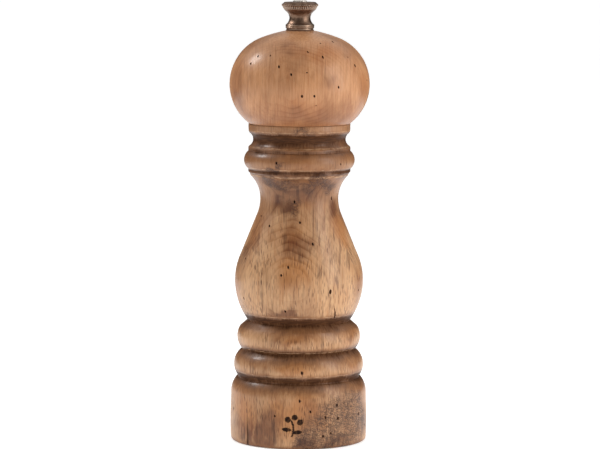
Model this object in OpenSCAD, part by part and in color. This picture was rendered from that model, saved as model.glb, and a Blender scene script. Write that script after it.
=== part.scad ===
// Turned beech pepper mill with a hand-turned head, a conical steel burr set
// and a six-step grind selector recessed in its foot.
// Frame: +Z up along the turning axis, origin at the centre of the foot, on the table.

/* [Column] */
// Radius of the straight foot
foot_r = 27.8; // [27.4:0.1:28.2]
// Height of the straight part of the foot
foot_h = 20; // [19.6:0.2:20.4]
// Radius of the belly at its widest
belly_r = 26.3; // [25.9:0.1:26.7]
// Radius of the waist at its narrowest
waist_r = 16; // [15.6:0.1:16.4]
// Radius of the peppercorn chamber
hopper_r = 11.5; // [11:0.1:12]

/* [Head] */
// Radius of the head at its widest
head_r = 28.6; // [28.2:0.1:29]
// Radius of the tenon that sits in the column
tenon_r = 14.2; // [13.8:0.1:14.4]

/* [Knob] */
// Radius of the knurled rim
knob_r = 7.5; // [7.4:0.1:7.8]
// Number of flutes in the knurled rim
knob_flutes = 60; // [48:2:64]

/* [Spindle] */
// Square shaft, across its flats
shaft_af = 5; // [4.9:0.05:5.1]
// Thread pitch at the top of the shaft
thread_pitch = 0.8; // [0.7:0.1:0.9]

/* [Burrs] */
// Fine teeth on the turning burr
rotor_teeth = 28; // [24:2:32]
// Fine teeth in the fixed burr
stator_teeth = 34; // [30:2:38]
// Coarse lead-in flutes on the turning burr
lead_flutes = 7; // [6:1:8]

/* [Grind selector] */
// Number of grind settings
settings = 6; // [5:1:6]
// Turn of the selector between two settings, in degrees
setting_angle = 18; // [16:1:18]
// Rise of the turning burr from coarsest to finest
grind_travel = 1.5; // [1.3:0.1:1.5]

/* [Hidden] */
$fn = 96;
arc_steps = 12;      // chords in each turned arc

// Column
foot_edge = 1.2;
column_top = 130;
neck_z = 99.4;       // height of the waist
belly_z = 66;        // height of the belly
recess_r = 23;       // selector recess in the foot
recess_h = 10;
seat_r = 19;         // bore for the mechanism
seat_top = 32;
socket_r = tenon_r + 0.3;
socket_z = 122;
index_r = 25.4;      // the index dot drilled in the foot

// Head
head_z = 146.1;      // height of the head's widest line
head_side_r = 20.2;  // radius of the turned side
head_side_angle = 69;
cap_r = 58.7;        // radius of the flatter cap
cap_offset = cap_r - head_side_r;
head_gap = 0.1;      // running gap between head and column
head_top = 167.7;
tenon_z = socket_z + 0.6;
shaft_hole_r = 4;

// Drive plate
plate_r = 10.8;
plate_t = 1.5;
plate_screw_x = 7.8;

// Knob
washer_t = 0.4;
knob_z = head_top + washer_t;
knob_top = 180;
knob_bore_r = 2.56;
rim_z = [176.3, 178.6];   // height span of the flutes

// Spindle
shaft_z0 = 11.2;
square_top = 165.5;
thread_r = 2.5;
shaft_top = 176.5;

// Mechanism
housing_r = 18.8;
flange_r = 22.8;
flange_z = [8.4, recess_h];
skirt_z = 3;
burr_seat_r = 17;
burr_ledge_z = 19;
key_w = 3;
bridge_z = 29;
bridge_t = 1.2;
bridge_screw_x = 16.9;
flange_screw_r = 20.9;
flange_screw_angles = [30, 150, 270];
clip_t = 0.8;
bush_r = 4.5;
bush_play = 0.05;
bush_lip_t = 0.7;

// Selector ring, and the carrier that it lifts
ring_r = 22.6;
ring_bore_r = 19.1;
ring_z = [1, 8];
lip_r = 14.5;
lip_top = 2.7;
arm_count = 3;
arm_w = 4;
arm_r = 19.8;
arm_z = [4.1, 5.7];
hub_r = 6;
hub_z = 3.6;
hub_top = 7;
slot_r = 20.3;
slot_play = 0.2;
slot_margin = 7;     // degrees that a slot runs past the arm's middle at each end
selector_range = (settings - 1) * setting_angle;
click_start = 118;   // the click spring's free end, which rests in a notch

// Burrs
rotor_z = [9.5, 14.5, 21];          // bottom, end of the fine teeth, top
rotor_r = [12, 10.09, 7.6];
rotor_hub_z = 7.85;
rotor_pocket_r = 5.9;
rotor_pocket_z = 19;
stator_z = [recess_h, 12.3, burr_ledge_z];
stator_r = [12.55, 11.9, 13.6];
tooth_depth = 0.6;
lead_depth = 1.6;

// Spring
spring_wire_r = 0.45;
spring_mean_r = 4.75;
spring_turns = 5;
spring_z = [rotor_pocket_z, bridge_z - bush_play - bush_lip_t - clip_t];

// Circular arc about c = [r, z], from angle a to angle b
function arc(c, r, a, b, n = arc_steps) =
    [for (i = [0:n]) c + r * [cos(a + (b - a) * i / n), sin(a + (b - a) * i / n)]];

// Round bead of radius r about c, cut off at heights low and high
function bead(c, r, low, high) = arc(c, r, asin((low - c[1]) / r), asin((high - c[1]) / r));

// Outline of a ring of teeth: depth is cut inwards from r, with a steep and a slow flank
function teeth(n, r, depth) =
    [for (i = [0:n - 1], f = [[0, 0], [0.35, 1], [0.5, 1]])
        let (a = 360 * (i + f[0]) / n) (r - depth * f[1]) * [cos(a), sin(a)]];

slope = 22.2;        // lean of the straight stretch between belly and waist
belly_top_r = 25;
neck_low_r = 16.6;
neck_high_r = 13.3;
column_outside = concat(
    arc([foot_r - foot_edge, foot_edge], foot_edge, -90, 0, 5),
    arc([foot_r - 9, foot_h], 9, 0, 40),
    [[25, 26.2]],
    bead([19.1, 31.3], 7.5, 26.6, 37.1),
    bead([17.75, 42.8], 7.5, 37.7, 46.8),
    [[22.1, 48.5], [21.3, 49.2]],
    bead([belly_r - 28.5, belly_z], 28.5, 49.4, belly_z),
    arc([belly_r - belly_top_r, belly_z], belly_top_r, 1, slope),
    arc([waist_r + neck_low_r, neck_z], neck_low_r, 180 + slope, 181),
    arc([waist_r + neck_high_r, neck_z], neck_high_r, 180, 134.5),
    [[20.4, 110], [20.9, 110.4], [20.9, 111.5]],
    bead([17.95, 115.2], 4.7, 111.6, 119),
    [[20.9, 119.1], [20.9, 120.4]],
    arc([22.15, 123.6], 3.2, 237, 123),
    arc([20.3, 127.2], 0.5, -20, 0, 2),
    arc([20.6, column_top - 0.2], 0.2, 0, 90, 3));

head_outside = concat(
    [[20.7, column_top + head_gap]],
    arc([head_r - head_side_r, head_z], head_side_r, -50.5, head_side_angle, 24),
    arc([head_r - head_side_r, head_z] - cap_offset * [cos(head_side_angle), sin(head_side_angle)],
        cap_r, head_side_angle + 2, 78.8));

module column_shell() {
    color("burlywood") difference() {
        rotate_extrude() polygon(concat(column_outside, [
            [socket_r, column_top], [socket_r, socket_z], [hopper_r, socket_z], [hopper_r, seat_top + 6],
            [17, seat_top], [seat_r, seat_top], [seat_r, recess_h], [recess_r, recess_h], [recess_r, 0]]));
        at_angles(flange_screw_angles, flange_screw_r, recess_h - 1) cylinder(r = 1.15, h = 10);
        at_angles([-90], index_r, -1) cylinder(r = 0.7, h = 1.6);
    }
}

// Copies of the children at each of the angles, r from the axis, at height z
module at_angles(angles, r, z) {
    for (a = angles) rotate([0, 0, a]) translate([r, 0, z]) children();
}

// Flat-topped washer or disc with a round hole
module washer(outer, inner, z, t) {
    translate([0, 0, z]) difference() {
        cylinder(r = outer, h = t);
        translate([0, 0, -1]) cylinder(r = inner, h = t + 2);
    }
}

// Countersunk screw, its flat head's face at z = 0, pointing up
module countersunk_screw(head_r, shank_r, length) {
    difference() {
        union() {
            cylinder(r1 = head_r, r2 = shank_r, h = 1);
            cylinder(r = shank_r, h = length - 1.2);
            translate([0, 0, length - 1.2]) cylinder(r1 = shank_r, r2 = 0.3, h = 1.2);
        }
        cross_recess(head_r * 1.1, 0.35, 0.6);
    }
}

// Pan-head screw, its head standing on z = 0, its shank pointing down
module pan_screw(head_r, head_h, shank_r, length) {
    difference() {
        union() {
            cylinder(r = head_r, h = head_h);
            translate([0, 0, -length]) cylinder(r = shank_r, h = length);
        }
        translate([0, 0, head_h - 0.6]) cross_recess(head_r * 1.2, 0.35, 1);
    }
}

module cross_recess(span, width, depth) {
    for (a = [0, 90]) rotate([0, 0, a])
        translate([-span / 2, -width / 2, -0.01]) cube([span, width, depth]);
}

module mechanism_housing() {
    color("dimgray") difference() {
        rotate_extrude() polygon([
            [burr_seat_r, skirt_z], [housing_r, skirt_z], [19.2, skirt_z + 0.1], [19.2, skirt_z + 0.5],
            [housing_r, skirt_z + 0.6], [housing_r, flange_z[0]], [flange_r, flange_z[0]],
            [flange_r, flange_z[1]], [housing_r, flange_z[1]], [housing_r, bridge_z],
            [15.2, bridge_z], [15.2, burr_ledge_z], [burr_seat_r, burr_ledge_z]]);
        for (i = [0:arm_count - 1]) rotate([0, 0, i * 360 / arm_count])
            translate([10, -arm_w / 2 - slot_play, skirt_z - 1]) cube([9.5, arm_w + 2 * slot_play, 6]);
        burr_keys(key_w + 0.1, 0.9, skirt_z - 1, stator_z[0] + 4.05 - skirt_z);
        at_angles(flange_screw_angles, flange_screw_r, flange_z[0]) {
            translate([0, 0, -0.01]) cylinder(r1 = 1.75, r2 = 1.15, h = 1.05);
            cylinder(r = 1.15, h = 3);
        }
        for (s = [-1, 1]) translate([s * bridge_screw_x, 0, bridge_z - 7]) cylinder(r = 0.95, h = 8);
        at_angles([click_start - 42], 21.6, flange_z[0] - 1) cylinder(r = 0.5, h = 3);
    }
}

module housing_screws() {
    color("silver") at_angles(flange_screw_angles, flange_screw_r, flange_z[0])
        countersunk_screw(1.7, 1.1, 9.5);
}

// Three keys that stop the fixed burr from turning, and the slots that they slide in
module burr_keys(width, height, z, length) {
    for (a = [60, 180, 300]) rotate([0, 0, a])
        translate([burr_seat_r - 1.2, -width / 2, z]) cube([1.2 + height, width, length]);
}

// Cutter for the toothed throat of the fixed burr
module throat_zone(i, n, depth, twist) {
    h = stator_z[i + 1] - stator_z[i];
    grow = stator_r[i + 1] / stator_r[i];
    translate([0, 0, stator_z[i]])
        linear_extrude(height = h, twist = twist, scale = grow, slices = 5)
            polygon(teeth(n, stator_r[i] + depth, depth));
}

module fixed_burr() {
    color("gray") difference() {
        union() {
            washer(burr_seat_r - 0.05, 6, stator_z[0], burr_ledge_z - stator_z[0]);
            burr_keys(key_w, 0.8, stator_z[0], 3);
        }
        throat_zone(0, stator_teeth, tooth_depth, 8);
        throat_zone(1, stator_teeth / 2, tooth_depth * 1.8, 24);
        translate([0, 0, stator_z[0] - 1]) cylinder(r = stator_r[0], h = 1.3);
    }
}

module bridge() {
    color("silver") difference() {
        intersection() {
            translate([0, 0, bridge_z]) union() {
                translate([-20, -4.5, 0]) cube([40, 9, bridge_t]);
                cylinder(r = 7.6, h = bridge_t);
            }
            cylinder(r = 18.6, h = bridge_z + 5);
        }
        translate([0, 0, bridge_z - 1]) cylinder(r = bush_r + bush_play, h = 4);
        for (s = [-1, 1]) translate([s * bridge_screw_x, 0, bridge_z - 1]) cylinder(r = 1, h = 4);
    }
}

module bridge_screws() {
    color("silver") for (s = [-1, 1])
        translate([s * bridge_screw_x, 0, bridge_z + bridge_t]) pan_screw(1.7, 1.1, 0.9, 6.5);
}

module shaft_bush() {
    low = bridge_z - bush_play;
    high = bridge_z + bridge_t + bush_play;
    color("ivory") difference() {
        rotate_extrude() polygon([
            [0, low - bush_lip_t], [bush_r, low - bush_lip_t], [bush_r + 0.6, low], [bush_r, low],
            [bush_r, high], [bush_r + 1.5, high], [bush_r + 1.5, high + bush_lip_t], [0, high + bush_lip_t]]);
        square_hole(low - 2, high + 2, 0.03);
    }
}

// One helical slot of the selector ring, swept as a square tube that rises clockwise
function slot_ring(a) =
    let (mid = (arm_z[0] + arm_z[1]) / 2 - a * grind_travel / selector_range,
         half = (arm_z[1] - arm_z[0]) / 2 + slot_play)
    [for (p = [[slot_r, -half], [slot_r, half], [ring_bore_r - 1, half], [ring_bore_r - 1, -half]])
        [p[0] * cos(a), p[0] * sin(a), mid + p[1]]];

module lifting_slot() {
    n = 24;
    first = -selector_range - slot_margin;
    span = selector_range + 2 * slot_margin;
    polyhedron(
        points = [for (i = [0:n], p = slot_ring(first + span * i / n)) p],
        faces = concat([[3, 2, 1, 0]], [[4 * n, 4 * n + 1, 4 * n + 2, 4 * n + 3]],
            [for (i = [0:n - 1], k = [0:3], t = [0, 1])
                let (a = 4 * i + k, b = 4 * i + (k + 1) % 4)
                t == 0 ? [b, a + 4, a] : [b + 4, a + 4, b]]));
}

module selector_ring() {
    color("dimgray") difference() {
        rotate_extrude() polygon([
            [lip_r, ring_z[0]], [ring_r - 0.6, ring_z[0]], [ring_r, ring_z[0] + 0.6], [ring_r, ring_z[1]],
            [ring_bore_r, ring_z[1]], [ring_bore_r, 3.8], [19.5, 3.7], [19.5, 2.9], [ring_bore_r, 2.8],
            [ring_bore_r, lip_top], [lip_r, lip_top]]);
        for (i = [0:arm_count - 1]) rotate([0, 0, i * 360 / arm_count]) lifting_slot();
        for (i = [0:15]) rotate([0, 0, i * 22.5 + 11.25])
            translate([lip_r, 0, 0]) cylinder(r = 1.7, h = lip_top + 1);
        for (i = [0:settings - 1]) rotate([0, 0, -90 - i * setting_angle])
            translate([18.6, 0, ring_z[0] - 1]) cylinder(r = 0.45 + 0.13 * i, h = 1.4);
        for (i = [0:settings - 1]) rotate([0, 0, click_start - i * setting_angle])
            translate([slot_r + 0.4, 0, ring_z[1] + 0.15]) rotate([0, 90, 0]) cylinder(r = 0.6, h = 3);
    }
}

module click_spring() {
    color("silver") difference() {
        union() {
            rotate([0, 0, click_start - 46]) rotate_extrude(angle = 46)
                translate([20.8, ring_z[1] + 0.1]) square([1.6, 0.25]);
            rotate([0, 0, click_start]) translate([20.8, 0, ring_z[1] + 0.2])
                rotate([0, 90, 0]) cylinder(r = 0.4, h = 1.6);
        }
        rotate([0, 0, click_start - 10]) translate([19, -5, ring_z[1] + 0.35]) cube([4, 20, 2]);
        at_angles([click_start - 42], 21.6, ring_z[1] - 1) cylinder(r = 0.5, h = 3);
    }
}

module click_spring_rivet() {
    color("silver") at_angles([click_start - 42], 21.6, ring_z[1] + 0.04) {
        cylinder(r = 0.45, h = 1.9);
        cylinder(r = 0.75, h = 0.05);
    }
}

module thrust_carrier() {
    color("dimgray") difference() {
        union() {
            translate([0, 0, hub_z]) cylinder(r = hub_r, h = hub_top - hub_z);
            translate([0, 0, hub_top - 1]) cylinder(r = 1.9, h = 1.6);
            for (i = [0:arm_count - 1]) rotate([0, 0, i * 360 / arm_count])
                translate([hub_r - 1, -arm_w / 2, arm_z[0]])
                    cube([arm_r - hub_r + 1, arm_w, arm_z[1] - arm_z[0]]);
        }
        translate([0, 0, hub_z - 1]) cylinder(r1 = 4, r2 = 2.4, h = 2.2);
    }
}

module pivot_washer() {
    color("goldenrod") washer(5.4, 2, hub_top, 0.8);
}

// One zone of the turning burr's cone
module cone_zone(i, n, depth, twist) {
    translate([0, 0, rotor_z[i]])
        linear_extrude(height = rotor_z[i + 1] - rotor_z[i], twist = twist,
                       scale = rotor_r[i + 1] / rotor_r[i], slices = 6)
            polygon(teeth(n, rotor_r[i], depth));
}

module turning_burr() {
    color("gray") difference() {
        union() {
            translate([0, 0, rotor_hub_z]) cylinder(r = 5.2, h = rotor_z[0] - rotor_hub_z);
            cone_zone(0, rotor_teeth, tooth_depth, -14);
            cone_zone(1, lead_flutes, lead_depth, -50);
        }
        translate([0, 0, rotor_pocket_z]) cylinder(r = rotor_pocket_r, h = 5);
        square_hole(rotor_hub_z - 1, rotor_z[2] + 1, 0.1);
    }
}

// Clearance hole for the square shaft from height low to high, with play on each face
module square_hole(low, high, play) {
    s = shaft_af + 2 * play;
    translate([-s / 2, -s / 2, low]) cube([s, s, high - low]);
}

// The spring's wire is swept along its helix; the end turns lie closed and flat
function spring_height(t) =
    let (w = spring_wire_r, h = spring_z[1] - spring_z[0] - 2 * w, e = 1 / spring_turns)
    spring_z[0] + w + (t < e ? 2 * w * 0.55 * t / e
        : t > 1 - e ? h - 2 * w * 0.55 * (1 - t) / e
        : 1.1 * w + (h - 2.2 * w) * (t - e) / (1 - 2 * e));

module burr_spring() {
    sides = 8;
    n = 18 * spring_turns;
    color("silver") polyhedron(
        points = [for (i = [0:n], k = [0:sides - 1])
            let (a = 360 * spring_turns * i / n, b = 360 * k / sides,
                 r = spring_mean_r + spring_wire_r * cos(b))
            [r * cos(a), r * sin(a), spring_height(i / n) + spring_wire_r * sin(b)]],
        faces = concat([[for (k = [0:sides - 1]) sides - 1 - k]], [[for (k = [0:sides - 1]) n * sides + k]],
            [for (i = [0:n - 1], k = [0:sides - 1], t = [0, 1])
                let (a = i * sides + k, b = i * sides + (k + 1) % sides)
                t == 0 ? [b, a + sides, a] : [b + sides, a + sides, b]]));
}

// Heights of the two circlips, below and above the bridge
clip_heights = [spring_z[1], bridge_z + bridge_t + bush_play + bush_lip_t];

module shaft() {
    color("silver") difference() {
        union() {
            translate([-shaft_af / 2, -shaft_af / 2, shaft_z0]) cube([shaft_af, shaft_af, square_top - shaft_z0]);
            rotate_extrude() polygon(concat([[0, square_top - 1], [thread_r - 0.5, square_top - 1]],
                [for (z = [square_top:thread_pitch:shaft_top - 1.5], e = [[-0.4, 0], [0, 0.4]])
                    [thread_r + e[0], z + e[1]]],
                [[thread_r - 0.4, shaft_top - 0.4], [thread_r - 0.9, shaft_top], [0, shaft_top]]));
        }
        for (z = clip_heights) washer(6, 2.9, z - 0.05, clip_t + 0.1);
        rotate_extrude() polygon([[2.6, shaft_z0 - 1], [3.2, shaft_z0 - 1], [4.4, shaft_z0 + 1.2], [5, shaft_z0 - 1]]);
    }
}

module shaft_circlips() {
    color("silver") for (z = clip_heights) translate([0, 0, z]) rotate([0, 0, 30])
        rotate_extrude(angle = 300) translate([2.95, 0]) square([2.2, clip_t]);
}

module head_shell() {
    color("burlywood") difference() {
        rotate_extrude() polygon(concat(
            [[shaft_hole_r, tenon_z + plate_t], [plate_r + 0.1, tenon_z + plate_t], [plate_r + 0.1, tenon_z],
             [tenon_r - 0.6, tenon_z], [tenon_r, tenon_z + 0.6], [tenon_r, column_top + head_gap]],
            head_outside, [[6, head_top], [shaft_hole_r, head_top]]));
        for (s = [-1, 1]) translate([s * plate_screw_x, 0, tenon_z]) cylinder(r = 1.15, h = 9);
    }
}

module drive_plate() {
    color("silver") difference() {
        translate([0, 0, tenon_z]) cylinder(r = plate_r, h = plate_t);
        square_hole(tenon_z - 1, tenon_z + 3, 0.1);
        for (s = [-1, 1]) translate([s * plate_screw_x, 0, tenon_z - 0.01]) {
            cylinder(r1 = 1.75, r2 = 1.15, h = 1.05);
            cylinder(r = 1.15, h = 3);
        }
    }
}

module drive_plate_screws() {
    color("silver") for (s = [-1, 1])
        translate([s * plate_screw_x, 0, tenon_z]) countersunk_screw(1.7, 1.1, 8);
}

module knob_washer() {
    color("saddlebrown") washer(5.7, 2.7, head_top, washer_t);
}

// Half-section of the knob between two heights
module knob_section(low, high) {
    intersection() {
        polygon(concat(
            [[knob_bore_r, knob_z], [5.4, knob_z], [5.65, knob_z + 0.3], [5.65, 168.8], [5.85, 169], [5.85, 170.1],
             [5.6, 170.35]],
            arc([7.4, 172.9], 3.1, 225, 129),
            [[6.3, 176.25], [6.8, 176.9], [7.05, 177.5], [knob_r, 178], [knob_r, 178.2], [6.3, 179.3], [6.1, 179.35],
             [3, 179.35], [2.85, knob_top - 0.2], [2.6, knob_top], [0, knob_top], [0, 177.6],
             [knob_bore_r, 177.6]]));
        translate([0, low]) square([20, high - low]);
    }
}

module knob() {
    color("sienna") {
        rotate_extrude() knob_section(knob_z, rim_z[0]);
        intersection() {
            rotate_extrude() knob_section(rim_z[0], rim_z[1]);
            translate([0, 0, rim_z[0] - 1]) linear_extrude(5) polygon(
                [for (i = [0:knob_flutes - 1], f = [0, 0.5])
                    let (a = 360 * (i + f) / knob_flutes) (f == 0 ? knob_r + 0.01 : knob_r - 0.3) * [cos(a), sin(a)]]);
        }
        rotate_extrude() knob_section(rim_z[1], knob_top);
    }
}

column_shell();
mechanism_housing();
housing_screws();
fixed_burr();
bridge();
bridge_screws();
shaft_bush();
selector_ring();
click_spring();
click_spring_rivet();
thrust_carrier();
pivot_washer();
turning_burr();
burr_spring();
shaft();
shaft_circlips();
head_shell();
drive_plate();
drive_plate_screws();
knob_washer();
knob();
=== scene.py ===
"""Looks of the turned beech pepper mill: worn wood under a glaze, with painted shade and painted
highlights in places, an antique bronze knob and a steel burr mechanism. Angles are in degrees round from
the front towards the right, and lengths in mm, unless a comment says otherwise."""

import math
import random

import bmesh
import bpy
from mathutils import Matrix, Vector, noise


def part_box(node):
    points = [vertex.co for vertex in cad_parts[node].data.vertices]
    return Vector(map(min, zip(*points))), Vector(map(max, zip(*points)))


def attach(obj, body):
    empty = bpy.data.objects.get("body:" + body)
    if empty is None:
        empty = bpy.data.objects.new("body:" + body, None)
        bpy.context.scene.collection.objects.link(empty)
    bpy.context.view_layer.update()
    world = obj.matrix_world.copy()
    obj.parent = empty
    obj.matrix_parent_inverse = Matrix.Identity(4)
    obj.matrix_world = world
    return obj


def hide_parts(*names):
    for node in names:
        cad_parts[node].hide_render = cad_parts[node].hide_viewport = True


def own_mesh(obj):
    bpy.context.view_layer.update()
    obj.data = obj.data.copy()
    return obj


MM = 0.001
SEED = 11

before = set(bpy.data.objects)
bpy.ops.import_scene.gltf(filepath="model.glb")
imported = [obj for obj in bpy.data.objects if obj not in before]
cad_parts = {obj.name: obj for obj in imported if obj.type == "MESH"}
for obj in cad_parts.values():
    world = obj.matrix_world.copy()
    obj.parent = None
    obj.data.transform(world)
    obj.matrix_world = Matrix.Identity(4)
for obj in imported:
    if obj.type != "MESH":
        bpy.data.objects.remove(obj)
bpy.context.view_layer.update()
COLUMN_TOP = round(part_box("column_shell")[1].z / MM, 2)
KNOB_BOTTOM = round(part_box("knob")[0].z / MM, 2)


# ---------- outlines and turned meshes ----------


def put(name, data):
    """A new object in the scene, from a mesh, a light or a camera."""
    obj = bpy.data.objects.new(name, data)
    bpy.context.scene.collection.objects.link(obj)
    return obj


def mesh_points(node):
    """(radius, height) of every vertex of a CAD node."""
    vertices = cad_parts[node].data.vertices
    return {(round(math.hypot(v.co.x, v.co.y) / MM, 2), round(v.co.z / MM, 2)) for v in vertices}


def outline_where(node, keep):
    """The corners of a CAD node's turned outline for which keep(r, z) holds, from the bottom up."""
    closest = 0.08
    found = []
    for p in sorted((p for p in mesh_points(node) if keep(*p)), key=lambda p: (p[1], p[0])):
        if not found or math.dist(p, found[-1]) > closest:
            found.append(p)
    return found


def halfway(a, b, length):
    """A vector of that length, in the direction halfway between a and b."""
    return (a.normalized() + b.normalized()).normalized() * length


def fair(points, step, corner=18):
    """Resamples an outline about every step mm along smooth curves. Bends sharper than corner degrees
    stay sharp. Returns the new points and the places in that list that are sharp."""
    points = [Vector(p) for p in points]
    runs = [(b - a) for a, b in zip(points, points[1:])]
    sharp = [True]
    for a, b in zip(runs, runs[1:]):
        sharp.append(math.degrees(a.angle(b)) > corner)
    sharp.append(True)
    out, creases = [], []
    for i, run in enumerate(runs):
        leaving = run if sharp[i] else halfway(runs[i - 1], run, run.length)
        arriving = run if sharp[i + 1] else halfway(run, runs[i + 1], run.length)
        if sharp[i]:
            creases.append(len(out))
        count = max(1, round(run.length / step))
        for k in range(count):
            t = k / count
            out.append(
                points[i] * (2 * t**3 - 3 * t**2 + 1)
                + leaving * (t**3 - 2 * t**2 + t)
                + points[i + 1] * (3 * t**2 - 2 * t**3)
                + arriving * (t**3 - t**2)
            )
    creases.append(len(out))
    out.append(points[-1])
    return out, creases


def hollows(points, reach):
    """How deep each outline point lies between what stands proud within reach above it and below it."""
    found = []
    for p in points:
        above = max(q.x for q in points if 0 <= q.y - p.y <= reach)
        below = max(q.x for q in points if 0 <= p.y - q.y <= reach)
        found.append(min(above, below) - p.x)
    return found


def inside_bands(points, bands):
    """How deep in the nearest of the height bands each outline point lies, negative outside. It falls
    off slowly below a band and steeply above it."""
    slow, steep = 0.42, 1.3
    return [max(min((p.y - low) * slow, (high - p.y) * steep) for low, high in bands) for p in points]


def turn(name, points, segments, shape=None, creases=(), hollow=None, closed=False):
    """A turned mesh. shape(angle in radians, r, z) may move a point to another radius and height;
    hollow goes into the mesh attribute of that name."""
    mesh = bpy.data.meshes.new(name)
    shape = shape or (lambda angle, r, z: (r, z))
    vertices, faces = [], []
    for p in points:
        for k in range(segments):
            angle = 2 * math.pi * k / segments
            r, z = shape(angle, p[0], p[1])
            vertices.append((r * math.sin(angle) * MM, -r * math.cos(angle) * MM, z * MM))
    rows = len(points) if closed else len(points) - 1
    for j in range(rows):
        low = j * segments
        high = ((j + 1) % len(points)) * segments
        for k in range(segments):
            n = (k + 1) % segments
            faces.append((low + k, low + n, high + n, high + k))
    mesh.from_pydata(vertices, [], faces)
    mesh.polygons.foreach_set("use_smooth", [True] * len(mesh.polygons))
    if creases:
        sharpen_rows(mesh, segments, {c % len(points) for c in creases})
    if hollow:
        values = mesh.attributes.new("hollow", "FLOAT", "POINT")
        values.data.foreach_set("value", [h for h in hollow for _ in range(segments)])
    return put(name, mesh)


def sharpen_rows(mesh, segments, rows):
    """Marks the edges that run round those rows of a turned mesh as sharp."""
    flags = mesh.attributes.new("sharp_edge", "BOOLEAN", "EDGE")
    for e in mesh.edges:
        a, b = e.vertices
        if a // segments == b // segments and a // segments in rows:
            flags.data[e.index].value = True


def at(angle, r, z):
    """The point at an angle, a radius and a height, in metres."""
    a = math.radians(angle)
    return Vector((r * math.sin(a), -r * math.cos(a), z)) * MM


def radius_at(points, z):
    """The outline's radius at height z."""
    for a, b in zip(points, points[1:]):
        if min(a[1], b[1]) <= z <= max(a[1], b[1]) and a[1] != b[1]:
            return a[0] + (b[0] - a[0]) * (z - a[1]) / (b[1] - a[1])
    return points[-1][0]


def pit(bm, place, inward, width, depth, height):
    """Adds a tapered, slightly uneven plug to bm, for cutting a pit. height stretches it along Z."""
    sides = 12
    rings = []
    side = inward.cross(Vector((0, 0, 1))).normalized()
    up = side.cross(inward).normalized()
    for along, size in ((-0.6, 1.25), (0.0, 1.0), (0.55, 0.85), (1.0, 0.5)):
        ring = []
        for k in range(sides):
            a = 2 * math.pi * k / sides
            r = width * size * (1 + 0.14 * math.sin(2 * a + width * 9))
            offset = side * math.cos(a) * r + up * math.sin(a) * r * height
            ring.append(bm.verts.new(place + (offset + inward * along * depth) * MM))
        rings.append(ring)
    for a, b in zip(rings, rings[1:]):
        for k in range(sides):
            bm.faces.new((a[k], a[(k + 1) % sides], b[(k + 1) % sides], b[k]))
    bm.faces.new(rings[0][::-1])
    bm.faces.new(rings[-1])


def carve(obj, cutter_mesh):
    """Cuts the plugs in a bmesh out of obj, and applies the cut. The walls take obj's second material."""
    bmesh.ops.recalc_face_normals(cutter_mesh, faces=cutter_mesh.faces)
    for face in cutter_mesh.faces:
        face.material_index = 1
    mesh = bpy.data.meshes.new("cutter")
    cutter_mesh.to_mesh(mesh)
    cutter_mesh.free()
    for slot in obj.data.materials:
        mesh.materials.append(slot)
    cutter = put("cutter", mesh)
    cut = obj.modifiers.new("cut", "BOOLEAN")
    cut.operation = "DIFFERENCE"
    cut.solver = "EXACT"
    cut.object = cutter
    graph = bpy.context.evaluated_depsgraph_get()
    obj.data = bpy.data.meshes.new_from_object(obj.evaluated_get(graph))
    obj.data.name = obj.name
    obj.modifiers.clear()
    bpy.data.objects.remove(cutter)


def face_outwards(obj):
    """Gives obj's faces outward normals."""
    bm = bmesh.new()
    bm.from_mesh(obj.data)
    bmesh.ops.recalc_face_normals(bm, faces=bm.faces)
    bm.to_mesh(obj.data)
    bm.free()


# ---------- the shading kit ----------


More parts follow.
